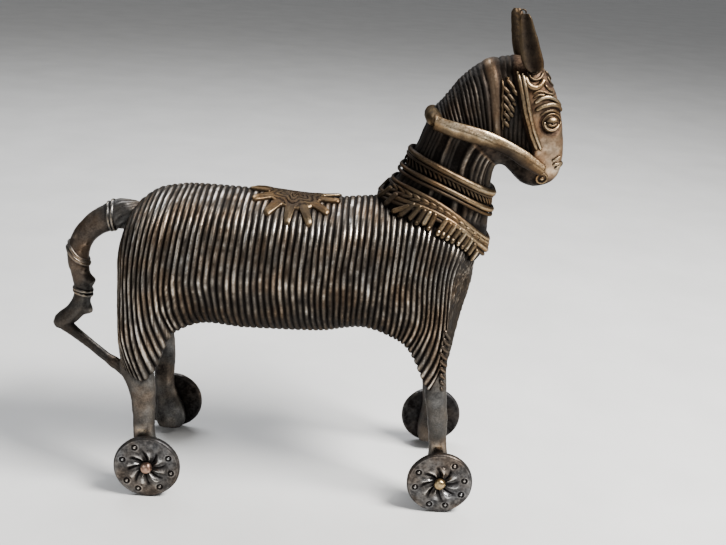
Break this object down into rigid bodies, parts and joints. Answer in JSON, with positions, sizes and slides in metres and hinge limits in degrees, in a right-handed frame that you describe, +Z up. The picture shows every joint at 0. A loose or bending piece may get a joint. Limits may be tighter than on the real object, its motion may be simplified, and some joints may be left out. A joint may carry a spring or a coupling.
{
  "type": "wheeled horse figurine",
  "caption": "Cast bronze horse wound with ridged threads, with bridle, tasselled collar, saddle rosette and braced tail, on stamped disc wheels that turn on rivets.",
  "frame": {"origin": "on the ground, under the middle of the whole toy's box", "axes": "+X the way the horse faces, +Y its left side, +Z up"},
  "size_m": [0.222, 0.0726, 0.2228],
  "materials": {
    "ridged_bronze": "dark brown patina, worn to warm metal on the thread crests",
    "smooth_bronze": "dark grey-brown patina, satin, lightly rubbed",
    "worn_bronze": "golden where handled, dark in the hollows",
    "wheel_bronze": "granular cast skin, grey-brown, stamped",
    "copper": "hammered copper, dull pink shine",
    "fired_clay": "matt baked clay"
  },
  "bodies": {
    "horse": {"torso_shell": "ridged_bronze", "clay_core": "fired_clay", "neck": "ridged_bronze", "head": "ridged_bronze", "ear_right": "ridged_bronze", "ear_left": "ridged_bronze", "ear_tip_loop": "worn_bronze", "eye_right": "ridged_bronze", "eye_left": "ridged_bronze", "cheek_strap_right": "worn_bronze", "cheek_strap_left": "worn_bronze", "brow_wire_right": "worn_bronze", "brow_wire_left": "worn_bronze", "rein_right": "worn_bronze", "rein_left": "worn_bronze", "nape_knob": "worn_bronze", "neck_band_upper": "worn_bronze", "neck_band_lower": "worn_bronze", "collar_cord_upper": "worn_bronze", "collar_cord_lower": "worn_bronze", "collar_braid": "worn_bronze", "tassel_right_1": "worn_bronze", "tassel_right_2": "worn_bronze", "tassel_right_3": "worn_bronze", "tassel_right_4": "worn_bronze", "tassel_right_5": "worn_bronze", "tassel_right_6": "worn_bronze", "tassel_right_7": "worn_bronze", "tassel_right_8": "worn_bronze", "tassel_left_1": "worn_bronze", "tassel_left_2": "worn_bronze", "tassel_left_3": "worn_bronze", "tassel_left_4": "worn_bronze", "tassel_left_5": "worn_bronze", "tassel_left_6": "worn_bronze", "tassel_left_7": "worn_bronze", "tassel_left_8": "worn_bronze", "saddle_rosette": "worn_bronze", "tail": "smooth_bronze", "tail_strut": "smooth_bronze", "leg_front_right": "smooth_bronze", "leg_front_left": "smooth_bronze", "leg_hind_right": "smooth_bronze", "leg_hind_left": "smooth_bronze", "rivet_front_right": "copper", "rivet_front_left": "copper", "rivet_hind_right": "copper", "rivet_hind_left": "copper"},
    "front_right_wheel": {"wheel_front_right": "wheel_bronze"},
    "front_left_wheel": {"wheel_front_left": "wheel_bronze"},
    "hind_right_wheel": {"wheel_hind_right": "wheel_bronze"},
    "hind_left_wheel": {"wheel_hind_left": "wheel_bronze"}
  },
  "joints": [
    {"name": "front_right_roll", "type": "hinge", "parent": "horse", "child": "front_right_wheel", "pos_m": [0.0687, -0.0323, 0.015], "axis": [0, 1, 0], "continuous": true},
    {"name": "front_left_roll", "type": "hinge", "parent": "horse", "child": "front_left_wheel", "pos_m": [0.0687, 0.0323, 0.015], "axis": [0, 1, 0], "continuous": true},
    {"name": "hind_right_roll", "type": "hinge", "parent": "horse", "child": "hind_right_wheel", "pos_m": [-0.0633, -0.0323, 0.015], "axis": [0, 1, 0], "continuous": true},
    {"name": "hind_left_roll", "type": "hinge", "parent": "horse", "child": "hind_left_wheel", "pos_m": [-0.0633, 0.0323, 0.015], "axis": [0, 1, 0], "continuous": true}
  ]
}
